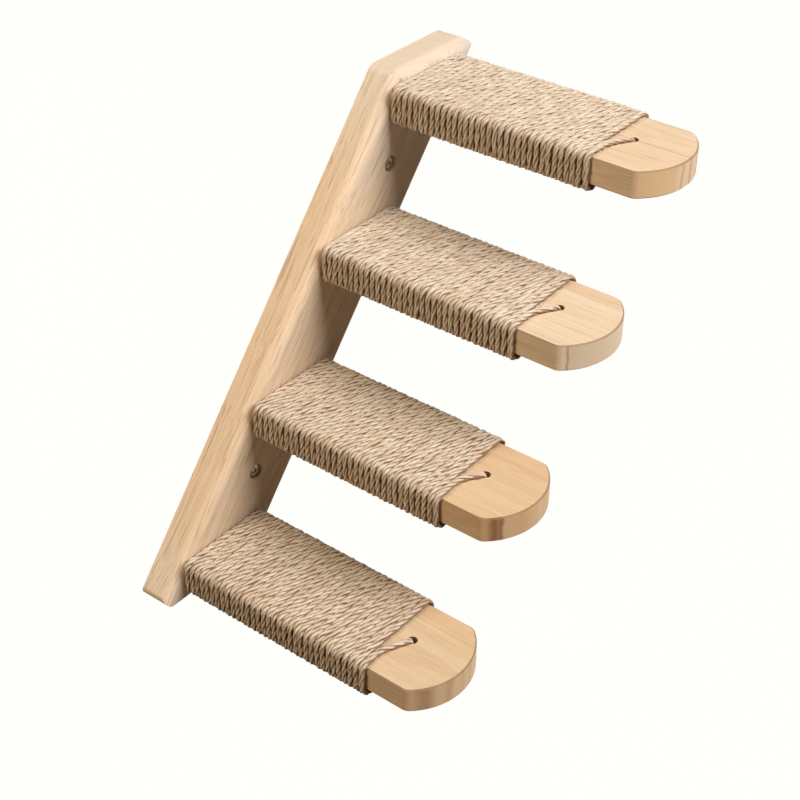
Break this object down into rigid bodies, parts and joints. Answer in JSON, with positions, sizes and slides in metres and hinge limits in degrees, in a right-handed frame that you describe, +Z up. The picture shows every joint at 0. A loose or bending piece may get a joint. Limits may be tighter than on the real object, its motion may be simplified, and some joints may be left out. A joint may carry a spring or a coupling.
{
  "type": "cat wall stairs",
  "caption": "Leaning wooden wall rail with level round-nosed steps, each wound with jute cord, for a cat to climb a wall.",
  "frame": {"origin": "on the rail's back face, half way between the two wall screws", "axes": "+X to the right along the wall, the way the stairs climb; +Y into the wall; +Z up"},
  "size_m": [0.3364, 0.2483, 0.3064],
  "materials": {
    "rail_wood": "satin",
    "step_wood": "satin",
    "jute": "matt twisted fibre",
    "screw_steel": "nickel plated"
  },
  "bodies": {
    "root": {"back_rail": "rail_wood", "step_board_1": "step_wood", "step_board_2": "step_wood", "step_board_3": "step_wood", "step_board_4": "step_wood", "jute_wrap_1": "jute", "jute_wrap_2": "jute", "jute_wrap_3": "jute", "jute_wrap_4": "jute", "step_screw_1_left": "screw_steel", "step_screw_1_right": "screw_steel", "step_screw_2_left": "screw_steel", "step_screw_2_right": "screw_steel", "step_screw_3_left": "screw_steel", "step_screw_3_right": "screw_steel", "step_screw_4_left": "screw_steel", "step_screw_4_right": "screw_steel", "wall_screw_upper": "screw_steel", "wall_screw_lower": "screw_steel"}
  },
  "joints": []
}
